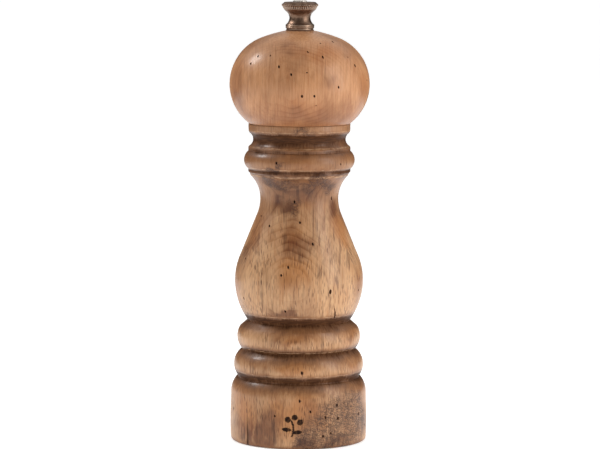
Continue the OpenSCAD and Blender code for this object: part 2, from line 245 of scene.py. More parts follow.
class Shade:
    """A material's node tree, built by nested calls."""

    def __init__(self, name, **constants):
        self.material = bpy.data.materials.new(name)
        self.material.use_nodes = True
        self.tree = self.material.node_tree
        self.shader = self.tree.nodes["Principled BSDF"]
        for key, value in constants.items():
            self.shader.inputs[key.replace("_", " ")].default_value = value

    def add(self, kind, *inputs, out=0, **settings):
        """Adds a node, feeds its inputs in order and returns one of its outputs."""
        node = self.tree.nodes.new("ShaderNode" + kind)
        for key, value in settings.items():
            setattr(node, key, value)
        for place, value in enumerate(inputs):
            self.feed(node.inputs[place], value)
        return node.outputs[out]

    def feed(self, socket, value):
        """Links a socket to another node's output, or sets it to a constant. None leaves it alone."""
        if value is None:
            return
        if isinstance(value, bpy.types.NodeSocket):
            self.tree.links.new(value, socket)
        elif isinstance(value, tuple) and len(value) == 3 and socket.type == "RGBA":
            socket.default_value = (*value, 1)
        else:
            socket.default_value = value

    def place(self, stretch=(1, 1, 1)):
        """Position in mm, times a stretch along each axis."""
        coordinates = self.add("TexCoord", out=3)
        scale = tuple(1000 * s for s in stretch)
        return self.add("VectorMath", coordinates, scale, operation="MULTIPLY")

    def math(self, operation, a, b=None):
        return self.add("Math", a, b, operation=operation)

    def plus(self, a, b):
        return self.math("ADD", a, b)

    def times(self, a, b):
        return self.math("MULTIPLY", a, b)

    def magnitude(self, value):
        return self.math("ABSOLUTE", value)

    def largest(self, values):
        total = values[0]
        for value in values[1:]:
            total = self.math("MAXIMUM", total, value)
        return total

    def split(self, where):
        """The three parts of a vector."""
        node = self.tree.nodes.new("ShaderNodeSeparateXYZ")
        self.feed(node.inputs[0], where)
        return node.outputs[0], node.outputs[1], node.outputs[2]

    def span(self, value, low, high, start=0.0, end=1.0):
        """value from low to high becomes start to end, on a smooth step."""
        node = self.tree.nodes.new("ShaderNodeMapRange")
        node.interpolation_type = "SMOOTHSTEP"
        for socket, v in zip(node.inputs, (value, low, high, start, end)):
            self.feed(socket, v)
        return node.outputs[0]

    def mix(self, amount, a, b, blend="MIX"):
        node = self.tree.nodes.new("ShaderNodeMix")
        node.data_type = "RGBA"
        node.blend_type = blend
        self.feed(node.inputs[0], amount)
        self.feed(node.inputs[6], a)
        self.feed(node.inputs[7], b)
        return node.outputs[2]

    def noise(self, where, scale=1.0, detail=3.0, rough=0.5, distortion=0.0, out=0):
        node = self.tree.nodes.new("ShaderNodeTexNoise")
        self.feed(node.inputs["Vector"], where)
        node.inputs["Scale"].default_value = scale
        node.inputs["Detail"].default_value = detail
        node.inputs["Roughness"].default_value = rough
        node.inputs["Distortion"].default_value = distortion
        return node.outputs[out]

    def swing(self, *noise_settings):
        """A noise that swings to both sides of 0."""
        return self.plus(self.noise(*noise_settings), -0.5)

    def cells(self, where, scale):
        node = self.tree.nodes.new("ShaderNodeTexVoronoi")
        self.feed(node.inputs["Vector"], where)
        node.inputs["Scale"].default_value = scale
        return node.outputs["Distance"]

    def stretched(self, where, across, along):
        """A place scaled by one factor across the grain and another along it."""
        return self.add("VectorMath", where, (across, across, along), operation="MULTIPLY")

    def wrapped(self, where, across, along):
        """Distance round the axis and height, scaled, so that marks laid out in them keep their shape."""
        x, y, z = self.split(where)
        typical_radius = 24.0
        angle = self.math("ARCTAN2", x, self.times(y, -1.0))
        round_axis = self.times(angle, typical_radius * across)
        return self.add("CombineXYZ", round_axis, self.times(z, along), 0.0)

    def planked(self, where, across, along):
        """Distance across the front or the side, and height, scaled, so that marks run straight up the
        grain."""
        side_slope = 1.7  # past this x / y the side's layout takes over from the front's
        elsewhere = 200.0  # keeps the side's marks from repeating the front's
        x, y, z = self.split(where)
        on_side = self.math("GREATER_THAN", self.magnitude(x), self.times(self.magnitude(y), side_slope))
        to_side = self.plus(y, self.plus(self.times(x, -1.0), elsewhere))
        level = self.plus(x, self.times(on_side, to_side))
        return self.add("CombineXYZ", self.times(level, across), self.times(z, along), 0.0)

    def flecks(self, where, across, along, size, share):
        """Small marks about size / across wide and size / along tall, on about that share of the cells."""
        node = self.tree.nodes.new("ShaderNodeTexVoronoi")
        node.voronoi_dimensions = "2D"
        self.feed(node.inputs["Vector"], self.planked(where, across, along))
        node.inputs["Scale"].default_value = 1.0
        pick = self.split(node.outputs["Color"])[0]
        mark = self.span(node.outputs["Distance"], size * 0.5, size, 1.0, 0.0)
        return self.times(mark, self.span(pick, 1.0 - share, 1.3 - share))

    def blob(self, where, centre, radii):
        """1 at the centre, falling to 0 at the given radii."""
        shifted = self.add("VectorMath", where, tuple(centre), operation="SUBTRACT")
        scaled = self.add("VectorMath", shifted, tuple(radii), operation="DIVIDE")
        length = self.add("VectorMath", scaled, operation="LENGTH", out=1)
        return self.span(length, 0.0, 1.0, 1.0, 0.0)

    def patches(self, where, places):
        """The strongest of a list of ragged blobs (angle, r, z, width, height, strength) at each point."""
        reach = 15
        wander = self.noise(self.stretched(where, 0.13, 0.10), 1.0, 4.0, out=1)
        off_centre = self.add("VectorMath", wander, (0.5, 0.5, 0.5), operation="SUBTRACT")
        shift = self.add("VectorMath", off_centre, (reach, reach, reach), operation="MULTIPLY")
        where = self.add("VectorMath", where, shift, operation="ADD")
        spots = []
        for angle, r, z, width, height, strength in places:
            spot = self.blob(where, at(angle, r, z) / MM, (width, width, height))
            spots.append(self.times(spot, strength))
        return self.largest(spots)

    def attribute(self, name):
        return self.add("Attribute", out=2, attribute_name=name)

    def finish(self, colour, roughness, height, strength, distance, **others):
        """Joins the results to the shader. others are the shader's other inputs by name."""
        self.feed(self.shader.inputs["Base Color"], colour)
        self.feed(self.shader.inputs["Roughness"], roughness)
        for key, value in others.items():
            self.feed(self.shader.inputs[key.replace("_", " ")], value)
        bump = self.tree.nodes.new("ShaderNodeBump")
        bump.inputs["Strength"].default_value = strength
        bump.inputs["Distance"].default_value = distance * MM
        self.tree.links.new(height, bump.inputs["Height"])
        self.tree.links.new(bump.outputs[0], self.shader.inputs["Normal"])
        return self.material


# ---------- beech ----------

PITH = (9.0, 58.0, 0.0)  # the heart of the tree that the billet came from
RINGS_PER_MM = 0.85

PALE = (0.65, 0.380, 0.195)
TAN = (0.45, 0.200, 0.080)
BROWN = (0.19, 0.068, 0.024)
RAY = (0.090, 0.031, 0.012)
CHECK = (0.095, 0.036, 0.016)
# Multiplied in over the dusk heights: on the head, painted shade under the bulb
DUSK = (0.66, 0.58, 0.53)
# A warm tone, also multiplied in as painted shade at the left and right edges
AMBER_AND_SHADE = (0.80, 0.62, 0.44)
STAINED = (0.42, 0.31, 0.25)
# Glaze colours, which also paint shade under the ring and a contact shadow at the foot
EDGE_GLAZE_AND_SHADE = (0.27, 0.108, 0.036)
UMBER_GLAZE_AND_SHADE = (0.135, 0.055, 0.023)
GLAZE_AND_SHADE = (0.050, 0.019, 0.009)
# Pale wood where the glaze wore through, also used as a painted highlight along edges
BARE_AND_HIGHLIGHT = (0.56, 0.33, 0.18)
SCUFF = (0.055, 0.022, 0.012)
INK = (0.018, 0.008, 0.005)


def upright_share(s):
    """1 where the surface stands upright, 0 on end grain, where marks along the grain aren't seen."""
    facing_up = s.magnitude(s.split(s.add("TexCoord", out=1))[2])
    return s.span(facing_up, 0.78, 0.96, 1.0, 0.0)


def late_wood(s, where):
    """The dark edges of the growth rings round the pith, which waver along the trunk."""
    drift = s.noise(s.stretched(where, 0.035, 0.022), 1.0, 2.0)
    away = s.add("VectorMath", where, PITH, operation="SUBTRACT")
    flat = s.add("VectorMath", away, (1.0, 1.0, 0.03), operation="MULTIPLY")
    reach = s.plus(s.add("VectorMath", flat, operation="LENGTH", out=1), s.times(drift, 7.0))
    year = s.math("FRACT", s.times(reach, RINGS_PER_MM))
    return s.times(s.span(year, 0.45, 0.93), s.span(year, 0.93, 1.0, 1.0, 0.0))


def fibres(s, where, upright):
    """Fine lines, solid through the timber on end grain and mostly laid straight up the sides."""
    side_share = 0.7
    end_fibre = s.noise(s.stretched(where, 1.5, 0.07), 1.0, 5.0, 0.62)
    side_fibre = s.noise(s.planked(where, 1.5, 0.07), 1.0, 5.0, 0.62)
    end_part = s.times(end_fibre, s.plus(s.times(upright, -side_share), 1.0))
    return s.plus(end_part, s.times(side_fibre, s.times(upright, side_share)))


def timber(s, where, upright, fibre, late, rings):
    """Clean beech: fibres, a tone that drifts from one side to the other, growth rings and dark hairs."""
    hair = s.noise(s.planked(where, 3.4, 0.20), 1.0, 3.0, 0.6)
    tone = s.noise(s.stretched(where, 0.07, 0.03), 1.0, 3.0, 0.55)
    shows = s.span(s.noise(s.stretched(where, 0.05, 0.05), 1.0, 2.0), 0.4, 0.65, 0.25, 1.0)
    colour = s.mix(s.span(fibre, 0.22, 0.64), TAN, PALE)
    colour = s.mix(s.times(s.span(tone, 0.44, 0.68), 0.38), colour, BROWN)
    colour = s.mix(s.times(s.times(late, shows), rings), colour, BROWN)
    return s.mix(s.times(s.times(s.span(hair, 0.48, 0.72), 0.17), upright), colour, BROWN)


def ray_ends(s, where, upright):
    """The dark ends of the rays, as fine upright ticks in two sizes, crowded here and sparse there."""
    crowded = s.span(s.noise(where, 0.10, 2.0), 0.35, 0.65, 0.4, 1.0)
    sparse_above = s.span(s.split(where)[2], 78.0, 96.0, 1.0, 0.45)
    fine_tick = s.times(s.flecks(where, 2.3, 0.25, 0.31, 0.55), 0.85)
    coarse_tick = s.flecks(where, 2.0, 0.20, 0.28, 0.45)
    tick = s.largest([fine_tick, coarse_tick])
    return s.times(tick, s.times(s.times(crowded, upright), sparse_above))


def hairline_checks(s, where, upright):
    """Thin cracks that run up the grain here and there."""
    waver = s.magnitude(s.swing(s.planked(where, 0.30, 0.013), 1.0, 2.0, 0.55))
    here_and_there = s.span(s.noise(s.wrapped(where, 0.12, 0.06), 1.0, 3.0), 0.46, 0.6)
    return s.times(s.times(s.span(waver, 0.006, 0.024, 1.0, 0.0), here_and_there), upright)


def darkened_over(s, colour, at_mm, cloud, dusk):
    """The colour is multiplied darker, unevenly, over the height span dusk. On the head this is painted
    shade under the bulb.
    """
    settled = s.plus(s.split(at_mm)[2], s.times(s.plus(cloud, -0.5), 20.0))
    return s.mix(s.span(settled, *dusk), colour, DUSK, "MULTIPLY")


def tinted_at(s, colour, at_mm, places, tint, grain):
    """Stained places, and warmed places that also paint shade at the edges, soft but broken up by the
    grain.
    """
    broken = s.times(s.patches(at_mm, places), grain)
    return s.mix(s.span(broken, 0.0, 1.1), colour, tint, "MULTIPLY")


def glazed_and_shaded(s, colour, where):
    """Glaze left in the hollows, and painted shade in some of the bands, ragged where it was wiped off,
    thinning through umber to a warm edge. Returns the colour, and how dark the glaze and painted shade
    are."""
    drips = s.swing(s.wrapped(where, 1.2, 0.35), 1.0, 5.0, 0.72)
    swell = s.swing(where, 0.14, 2.0)
    depth = s.plus(s.attribute("hollow"), s.plus(s.times(drips, 2.2), s.times(swell, 2.2)))
    dark = s.span(depth, -0.3, 0.8)
    wiped = s.span(s.noise(s.wrapped(where, 0.22, 2.4), 1.0, 4.0), 0.33, 0.62, 0.58, 0.92)
    colour = s.mix(s.times(s.span(depth, -2.5, -0.4), 0.82), colour, EDGE_GLAZE_AND_SHADE)
    colour = s.mix(s.times(s.span(depth, -1.3, 0.2), 0.72), colour, UMBER_GLAZE_AND_SHADE)
    return s.mix(s.times(dark, wiped), colour, GLAZE_AND_SHADE), dark


def worn_and_highlit_edges(s, colour, at_mm, edges):
    """Edges (height, half-width) where the glaze has worn through to pale wood, in stretches. The pale
    lines also stand as painted highlights on these edges.
    """
    z = s.plus(s.split(at_mm)[2], s.times(s.swing(s.wrapped(at_mm, 0.5, 0.5)), 0.5))
    lines = []
    for height, half in edges:
        off = s.magnitude(s.plus(z, -height))
        lines.append(s.span(off, half * 0.4, half, 1.0, 0.0))
    stretches = s.span(s.noise(s.wrapped(at_mm, 0.35, 1.5), 1.0, 4.0, 0.65), 0.38, 0.62, 0.05, 0.7)
    return s.mix(s.times(s.largest(lines), stretches), colour, BARE_AND_HIGHLIGHT)


def scuffed(s, colour, at_mm, cloud, scars):
    """Scuffed areas: a crazing of fine crooked lines, slanted scratches and dark pricks. Returns the
    colour, and how deep the scuffs are."""
    crooked = s.magnitude(s.swing(s.wrapped(at_mm, 0.42, 0.85), 1.0, 4.0, 0.68, 0.8))
    slant = math.radians(24)
    slanted = s.add("VectorRotate", s.wrapped(at_mm, 1, 1), None, None, slant, rotation_type="Z_AXIS")
    scratch = s.noise(s.add("VectorMath", slanted, (0.22, 1.7, 1.0), operation="MULTIPLY"), 1.0, 4.0, 0.65)
    marks = (
        s.span(crooked, 0.012, 0.055, 1.0, 0.0),
        s.span(scratch, 0.54, 0.64, 0.0, 0.9),
        s.span(s.noise(at_mm, 1.5, 3.0, 0.6), 0.60, 0.68, 0.0, 0.9),
    )
    worked = s.span(s.times(s.patches(at_mm, scars), s.plus(cloud, 0.6)), 0.04, 0.55)
    scuff = s.times(s.largest(marks), worked)
    colour = s.mix(s.times(worked, 0.4), colour, STAINED, "MULTIPLY")
    return s.mix(s.times(scuff, 0.85), colour, SCUFF), scuff


def wood(
    name, ticks, rings, dusk, stains, amber_and_shade, scars=(), worn_and_highlit=(), brand=False, offset=0.0, tint=(1, 1, 1)
):
    """Waxed beech. ticks and rings are how strongly the dark ray ends and the growth rings show. dusk is
    the height span over which the colour is multiplied darker; on the head that is painted shade under
    the bulb. stains, amber_and_shade and scars are darkened, warmed and scuffed places as (angle, r, z,
    width, height, strength); the warmed places also paint shade at the left and right edges.
    worn_and_highlit holds the (height, half-width) of edges where the glaze has worn through, painted
    pale also as highlights. offset moves the piece up in the tree, and tint colours it."""
    s = Shade(name, IOR=1.46, Coat_Roughness=0.22, Coat_IOR=1.45)
    at_mm = s.place()
    where = s.add("VectorMath", at_mm, (0, 0, offset), operation="ADD")
    upright = upright_share(s)
    late = late_wood(s, where)
    fibre = fibres(s, where, upright)
    cloud = s.noise(s.stretched(where, 0.14, 0.10), 1.0, 4.0, 0.6)

    colour = timber(s, where, upright, fibre, late, rings)
    colour = s.mix(1.0, colour, tint, "MULTIPLY")
    tick = s.times(ray_ends(s, where, upright), ticks)
    colour = s.mix(tick, colour, RAY)
    colour = s.mix(s.times(hairline_checks(s, where, upright), 0.5 * ticks), colour, CHECK)
    colour = darkened_over(s, colour, at_mm, cloud, dusk)
    grain = s.plus(s.times(cloud, 0.7), s.plus(s.times(fibre, 1.2), s.times(late, 0.3)))
    colour = tinted_at(s, colour, at_mm, amber_and_shade, AMBER_AND_SHADE, grain)
    colour = tinted_at(s, colour, at_mm, stains, STAINED, grain)
    # burnt is how dark the glaze and painted shade are here, and later the brand as well
    colour, burnt = glazed_and_shaded(s, colour, where)
    if worn_and_highlit:
        colour = worn_and_highlit_edges(s, colour, at_mm, worn_and_highlit)

    lathe_marks = s.noise(s.stretched(where, 0.02, 2.2), 1.0, 2.0)
    height = s.plus(s.times(fibre, 0.3), s.times(lathe_marks, 0.12))
    height = s.plus(height, s.times(tick, -0.5))
    if scars:
        colour, scuff = scuffed(s, colour, at_mm, cloud, scars)
        height = s.plus(height, s.times(scuff, -1.0))
    if brand:
        burn = brand_mark(s, at_mm)
        colour = s.mix(burn, colour, INK)
        burnt = s.largest([burnt, burn])

    polish = s.span(s.noise(where, 0.16, 3.0), 0.3, 0.7, 0.38, 0.52)
    roughness = s.plus(polish, s.times(tick, 0.12))
    coat = s.span(burnt, 0.0, 1.0, 0.3, 0.03)
    level = s.span(burnt, 0.0, 1.0, 0.32, 0.06)
    return s.finish(colour, roughness, height, 0.55, 0.12, Coat_Weight=coat, Specular_IOR_Level=level)


BRAND_X = -2.4
BRAND_Z = 9.8
PEPPERCORNS = ((-1.9, 2.6), (0.9, 3.5), (3.1, 1.6))  # from the middle of the brand
PEPPERCORN_R = 1.25
LEAVES = ((-1, -1.6), (1, -2.6))  # which side of the stem, and the height
LEAF_ARC = 3.0  # a leaf is where two circles of this radius overlap


def brand_mark(s, where):
    """Where a sprig is burnt in: three peppercorns on a bent stem, with two leaves, in place of a
    maker's mark."""
    x, y, z = s.split(where)
    frayed = s.times(s.swing(where, 1.6, 3.0, 0.6), 0.9)
    across = s.plus(s.plus(x, frayed), -BRAND_X)
    flat = s.add("CombineXYZ", across, 0.0, s.plus(s.plus(z, frayed), -BRAND_Z))

    def from_point(px, pz):
        return s.add("VectorMath", flat, (px, 0, pz), operation="DISTANCE", out=1)

    marks = []
    for px, pz in PEPPERCORNS:
        marks.append(s.span(from_point(px, pz), PEPPERCORN_R * 0.85, PEPPERCORN_R * 1.1, 1.0, 0.0))
    off_arc = s.magnitude(s.plus(from_point(-6.8, -1.2), -7.2))
    stem = s.span(off_arc, 0.25, 0.5, 1.0, 0.0)
    stem = s.times(stem, s.times(s.span(z, 5.2, 5.6), s.span(z, 12.0, 12.4, 1.0, 0.0)))
    marks.append(s.times(stem, s.span(x, BRAND_X - 1.5, BRAND_X - 1.0)))
    for side, pz in LEAVES:
        upper = from_point(side * 2.4 - 0.2, pz - 1.9)
        lower = from_point(side * 2.0 - 0.2, pz + 2.1)
        marks.append(s.span(s.largest([upper, lower]), LEAF_ARC - 0.25, LEAF_ARC, 1.0, 0.0))
    front = s.span(y, -20.0, -19.0, 1.0, 0.0)
    uneven_burn = s.span(s.noise(where, 0.9, 4.0), 0.3, 0.6, 0.85, 1.0)
    return s.times(s.times(s.largest(marks), front), uneven_burn)


def dark_hole(name):
    """The walls of worm holes and cracks, painted dark as the shade inside them."""
    s = Shade(name)
    colour = s.mix(s.noise(s.place(), 2.5, 3.0), (0.055, 0.022, 0.010), (0.16, 0.070, 0.032))
    return s.finish(colour, 0.95, s.noise(s.place(), 6.0, 3.0), 0.5, 0.1)


# ---------- metals, nylon and leather ----------

# Heights above the knob's bottom
KNOB_RING_TOP = 2.3
FLUTES = (8.2, 10.4)
BOSS_FROM = 11.2


def bronze(name):
    """Antique bronze: dark in its hollows, pale on its top boss, with a painted highlight on the flutes'
    ridges and a painted reflection on its bottom ring.
    """
    s = Shade(name, Metallic=1.0)
    where = s.place()
    patina = s.noise(where, 0.55, 5.0, 0.62)
    fine = s.noise(where, 3.5, 4.0, 0.6)
    hollow = s.attribute("hollow")
    z = s.plus(s.split(where)[2], -KNOB_BOTTOM)
    colour = s.mix(s.span(patina, 0.3, 0.7), (0.150, 0.088, 0.058), (0.265, 0.170, 0.118))
    colour = s.mix(s.span(hollow, 0.1, 1.3, 0.0, 0.75), colour, (0.040, 0.018, 0.010))
    colour = s.mix(s.times(s.span(fine, 0.5, 0.8), 0.35), colour, (0.07, 0.04, 0.026))
    # The flutes' ridges are painted lighter: a painted highlight
    above = s.span(z, FLUTES[0] - 0.1, FLUTES[0] + 0.4)
    below = s.span(z, FLUTES[1] - 0.5, FLUTES[1] - 0.2, 1.0, 0.0)
    ridge_highlight = s.times(s.times(above, below), s.span(hollow, 0.1, 0.6, 1.0, 0.0))
    colour = s.mix(s.times(ridge_highlight, 0.6), colour, (0.62, 0.48, 0.38))
    colour = s.mix(s.span(z, BOSS_FROM, BOSS_FROM + 0.3), colour, (0.74, 0.68, 0.61))
    # The bottom ring is painted lighter: a painted reflection
    ring = s.span(z, KNOB_RING_TOP - 0.4, KNOB_RING_TOP, 0.6, 0.0)
    colour = s.mix(ring, colour, (0.46, 0.33, 0.24))
    roughness = s.plus(s.span(patina, 0.3, 0.7, 0.31, 0.41), s.times(fine, 0.08))
    turned = s.noise(s.stretched(where, 0.1, 9.0), 1.0, 2.0)
    height = s.plus(s.times(turned, 0.5), s.times(fine, 0.5))
    return s.finish(colour, roughness, height, 0.22, 0.05)


def metal(name, dark, light, rough, along=(0.2, 0.2, 7.0)):
    """Plated or bare metal with drawn or turned lines along one direction, and a little tarnish."""
    s = Shade(name, Metallic=1.0)
    lines = s.noise(s.place(along), 1.0, 4.0, 0.65)
    cloud = s.noise(s.place(), 0.45, 4.0, 0.6)
    colour = s.mix(s.span(lines, 0.3, 0.7), dark, light)
    colour = s.mix(s.times(s.span(cloud, 0.52, 0.72), 0.25), colour, (0.12, 0.10, 0.085))
    roughness = s.plus(s.span(lines, 0.3, 0.7, rough - 0.06, rough + 0.08), s.times(cloud, 0.12))
    return s.finish(colour, roughness, s.plus(lines, s.times(cloud, 0.3)), 0.3, 0.04)


def plastic(name, dark, light, rough):
    """Moulded nylon: a faint mottling, a spark-eroded skin and dust in its low spots."""
    s = Shade(name, IOR=1.5)
    where = s.place()
    skin = s.noise(where, 4.0, 4.0, 0.65)
    flow = s.noise(where, 0.12, 3.0, 0.5, 0.8)
    dust = s.span(s.noise(where, 0.7, 5.0, 0.7), 0.56, 0.74)
    colour = s.mix(s.span(flow, 0.3, 0.7), dark, light)
    colour = s.mix(s.times(dust, 0.10), colour, (0.35, 0.27, 0.19))
    roughness = s.plus(s.span(skin, 0.3, 0.7, rough - 0.05, rough + 0.1), s.times(dust, 0.12))
    return s.finish(colour, roughness, skin, 0.25, 0.05)


def leather(name):
    s = Shade(name)
    grain = s.cells(s.place(), 3.2)
    colour = s.mix(s.span(grain, 0.1, 0.6), (0.10, 0.045, 0.022), (0.20, 0.10, 0.05))
    return s.finish(colour, s.span(grain, 0.1, 0.6, 0.55, 0.75), grain, 0.4, 0.06)


# ---------- the wooden column and head ----------


def uneven(depth, salt):
    """A shape function that wears the surface inwards by up to depth mm, in long soft facets."""

    def shape(angle, r, z):
        spot = Vector((math.sin(angle) * 1.6, -math.cos(angle) * 1.6, z * 0.045 + salt))
        fine = Vector((math.sin(angle) * r * 0.22, -math.cos(angle) * r * 0.22, z * 0.22 + salt))
        wear = 0.5 + 0.5 * noise.noise(spot) + 0.25 * noise.noise(fine)
        return r - depth * max(0.0, min(1.0, wear)), z

    return shape


# Worm holes as (angle, z, half-width)
HEAD_HOLES = (
    (-43, 158.2, 0.34), (-48, 155.2, 0.36), (-29, 158.6, 0.24), (-18, 154.4, 0.38), (-7, 151.4, 0.40),
    (8, 160.2, 0.38), (6, 152.2, 0.26), (22, 158.2, 0.40), (26, 163.4, 0.32), (47, 163.8, 0.36),
    (51, 157.8, 0.24), (56, 154.4, 0.46), (33, 146.2, 0.42), (2, 142.8, 0.46), (12, 142.8, 0.42),
    (73, 148.2, 0.34), (14, 139.0, 0.2),
)
COLUMN_HOLES = (
    (-40, 89.4, 0.36), (-63, 92.8, 0.28), (1, 91.2, 0.36), (-7, 99.4, 0.34), (15, 82.8, 0.40),
    (-63, 75.8, 0.34), (-10, 73.8, 0.36), (-16, 70.6, 0.36), (29, 63.8, 0.5), (-13, 55.8, 0.36),
    (-61, 59.6, 0.34), (-64, 53.0, 0.3), (68, 62.8, 0.34), (55, 100.2, 0.36), (3, 31.2, 0.44),
    (1, 20.0, 0.36), (10, 15.6, 0.36), (34, 17.6, 0.38), (35, 12.2, 0.40), (23, 13.0, 0.34),
    (61, 12.6, 0.34), (21, 5.4, 0.42), (-20, 13.6, 0.34), (-71, 13.8, 0.28), (28, 6.4, 0.34),
    (75, 7.0, 0.3), (-24, 115.4, 0.3), (48, 114.6, 0.26),
)
# Cracks as two ends (angle, z), the half-width and the depth
COLUMN_CRACKS = (
    ((-48, -0.3), (-47.5, 13.0), 0.46, 2.6),
    ((128, -0.3), (129, 8.0), 0.16, 1.4),
    ((39, 52.4), (35.0, 58.0), 0.44, 1.3),
    ((205, 60.0), (207, 71.0), 0.14, 0.9),
)
# Height bands painted dark: glaze settled in the hollows, with painted shade under the ring (110.3 to
# # 111.9) and a painted contact shadow at the foot (-3.0 to 0.2)
COLUMN_GLAZE_AND_SHADE = (
    (-3.0, 0.2), (25.4, 28.9), (36.8, 39.3), (48.7, 52.4), (110.3, 111.9), (118.9, 120.0), (121.6, 126.6),
)
OUTSIDE_BANDS = -9.0
# The outlines (radius, height) of what is bored out
COLUMN_BORE = (
    (14.5, COLUMN_TOP), (14.5, 122.0), (11.5, 122.0), (11.5, 38.0), (17.0, 32.0),
    (19.0, 32.0), (19.0, 10.0), (23.0, 10.0), (23.0, 0.0),
)
HEAD_BORE = ((4.0, 124.1), (10.9, 124.1), (10.9, 122.6), (13.6, 122.6), (14.2, 123.2))
# What lies within a radius, up to a height, is bored out of the column, as (radius, height)
BORED_WITHIN = ((26.5, 10), (23.2, 35), (15.5, 120), (16, COLUMN_TOP + 1))


def more_holes(rng, count, low, high):
    """Worm holes for the side that faces away, in twos and threes."""
    found = []
    while len(found) < count:
        angle = rng.uniform(95, 265)
        z = rng.uniform(low, high)
        for _ in range(rng.choice((1, 2, 2, 3))):
            found.append((angle + rng.uniform(-9, 9), z + rng.uniform(-4, 4), rng.uniform(0.24, 0.44)))
    return [h for h in found if low < h[1] < high]


def worm_holes(outline, holes, rng):
    """Plugs for the worm holes, each bored at its own slant, and none so near another that they could
    meet. They point down into the crown of the head."""
    apart = 3.4
    crown = 158
    bm = bmesh.new()
    placed = []
    for angle, z, width in holes:
        place = at(angle, radius_at(outline, z), z)
        if any((place - other).length < apart * MM for other in placed):
            continue
        placed.append(place)
        inward = -Vector((place.x, place.y, 0)).normalized()
        if z > crown:
            inward = (inward + Vector((0, 0, -(z - crown) * 0.22))).normalized()
        slant = Vector((rng.uniform(-0.3, 0.3), rng.uniform(-0.3, 0.3), rng.uniform(-0.3, 0.3)))
        depth = rng.uniform(1.2, 2.2)
        pit(bm, place, (inward + slant).normalized(), width * 1.15, depth, rng.uniform(1.1, 1.7))
    return bm


def gash(bm, start, end, width, depth):
    """A thin wedge from start to end, open at start, for cutting a crack."""
    inward = -Vector((start.x, start.y, 0)).normalized()
    side = inward.cross(end - start).normalized() * width * MM
    proud = inward * 0.4 * MM
    steps = 6
    rows = []
    for i in range(steps + 1):
        t = i / steps
        middle = start.lerp(end, t) + side * 0.5 * math.sin(t * 5)
        half = side * (1 - 0.92 * t)
        bottom = middle + inward * depth * MM * (1 - 0.6 * t)
        row = (middle - proud - half, middle - proud + half, bottom)
        rows.append([bm.verts.new(v) for v in row])
    for a, b in zip(rows, rows[1:]):
        for k in range(3):
            bm.faces.new((a[k], a[(k + 1) % 3], b[(k + 1) % 3], b[k]))
    bm.faces.new(rows[0])
    bm.faces.new(rows[-1][::-1])


def turned_wood(name, loop, shape, creases, glaze, material):
    """A turned piece of wood, ready to be carved."""
    obj = turn(name, loop, 220, shape, creases, glaze, closed=True)
    obj.data.materials.append(material)
    obj.data.materials.append(hole_dark)
    face_outwards(obj)
    return obj


def make_column():
    def is_outside(r, z):
        return r > next(radius for radius, height in BORED_WITHIN if z < height)

    points, creases = fair(outline_where("column_shell", is_outside), 0.5)
    loop = points + [Vector(p) for p in COLUMN_BORE]
    creases = creases + list(range(len(points), len(loop)))
    glaze = inside_bands(points, COLUMN_GLAZE_AND_SHADE) + [OUTSIDE_BANDS] * len(COLUMN_BORE)
    wear = uneven(0.14, 3.0)
    bore = set(COLUMN_BORE)

    def shape(angle, r, z):
        if (r, z) in bore or not 0.5 < z < COLUMN_TOP - 0.3:
            return r, z
        return wear(angle, r, z)

    obj = turned_wood("turned_column", loop, shape, creases, glaze, column_wood)
    rng = random.Random(SEED)
    holes = list(COLUMN_HOLES) + more_holes(rng, 34, 5, 118)
    bm = worm_holes(points, holes, rng)
    for start, end, width, depth in COLUMN_CRACKS:
        ends = [at(angle, radius_at(points, max(z, 1.5)), z) for angle, z in (start, end)]
        gash(bm, *ends, width, depth)
    carve(obj, bm)
    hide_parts("column_shell")
    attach(obj, "column")


def make_head():
    def is_outside(r, z):
        return z > COLUMN_TOP + 0.05 and r > (19 if z < 160 else 5)

    outside = outline_where("head_shell", is_outside)
    points, creases = fair(outside, 0.5)
    low, high = outside[0][1], outside[-1][1]
    bore = [(4.0, high), *HEAD_BORE, (14.2, low)]
    loop = points + [Vector(p) for p in bore]
    creases = creases + list(range(len(points), len(loop)))
    wear = uneven(0.12, 9.0)

    def shape(angle, r, z):
        return wear(angle, r, z) if z > COLUMN_TOP + 0.3 and r > 7 else (r, z)

    obj = turned_wood("turned_head", loop, shape, creases, [OUTSIDE_BANDS] * len(loop), head_wood)
    rng = random.Random(SEED + 1)
    holes = [(a, z, w * 0.85) for a, z, w in HEAD_HOLES] + more_holes(rng, 16, 134, 165)
    carve(obj, worm_holes(points, holes, rng))
    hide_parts("head_shell")
    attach(obj, "head")


# ---------- the knob, the shaft and the burr spring ----------

PITCH = 0.8
BORE_ROOT = 2.56
BORE_CREST = 2.2
BORE_DEEP = 9.3
AXIS = 0.02  # the radius that a closed end runs in to


def thread_ridge(angle, z):
    """1 on the crest of the helical thread and 0 at its root. angle is in radians."""
    turn_share = (z / PITCH - angle / (2 * math.pi)) % 1.0
    return 1 - abs(2 * turn_share - 1)


